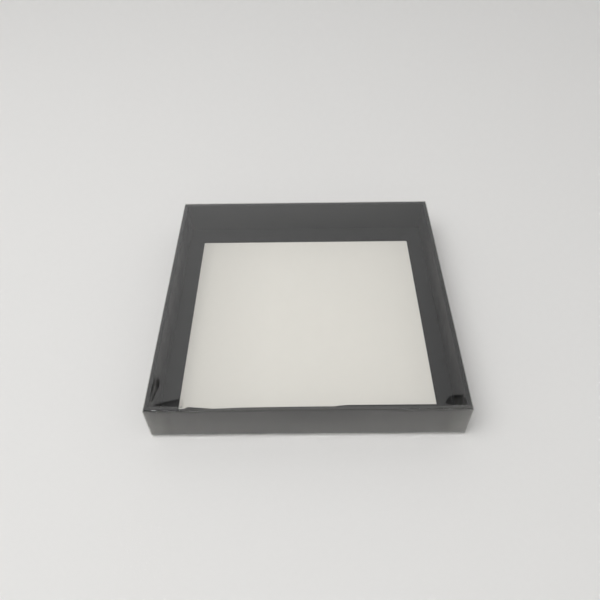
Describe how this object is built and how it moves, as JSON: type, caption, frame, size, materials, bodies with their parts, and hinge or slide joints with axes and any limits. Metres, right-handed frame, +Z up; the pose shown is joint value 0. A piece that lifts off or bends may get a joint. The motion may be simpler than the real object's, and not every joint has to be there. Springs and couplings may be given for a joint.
{
  "type": "display box",
  "caption": "Shallow square display box: black paper-covered tray with a cream floor, under a clear lift-off lid.",
  "frame": {"origin": "middle of the underside, on the surface that the box stands on", "axes": "+Z up, out of the tray's mouth; +X to the viewer's right; +Y to the back"},
  "size_m": [0.1534, 0.1538, 0.0224],
  "materials": {
    "clear_sheet": "clear, glossy, cut and folded sheet",
    "black_paper": "black, satin coated cover paper",
    "cream_card": "uncoated cream card",
    "chipboard": "grey-brown chipboard",
    "kraft_tape": "gummed brown kraft paper",
    "base_paper": "black, satin coated cover paper"
  },
  "bodies": {
    "tray": {"back_left_corner_tape": "kraft_tape", "back_right_corner_tape": "kraft_tape", "back_wall_board": "chipboard", "back_wrap": "black_paper", "base_paper": "base_paper", "floor_board": "chipboard", "floor_card": "cream_card", "front_left_corner_tape": "kraft_tape", "front_right_corner_tape": "kraft_tape", "front_wall_board": "chipboard", "front_wrap": "black_paper", "left_wall_board": "chipboard", "left_wrap": "black_paper", "right_wall_board": "chipboard", "right_wrap": "black_paper"},
    "lid": {"lid_back_left_tab": "clear_sheet", "lid_back_panel": "clear_sheet", "lid_back_right_tab": "clear_sheet", "lid_front_left_tab": "clear_sheet", "lid_front_panel": "clear_sheet", "lid_front_right_tab": "clear_sheet", "lid_left_panel": "clear_sheet", "lid_right_panel": "clear_sheet", "lid_window_panel": "clear_sheet"}
  },
  "joints": [
    {"name": "lid_lift", "type": "slide", "parent": "tray", "child": "lid", "axis": [0, 0, 1], "range_m": [0, 0.04]}
  ]
}
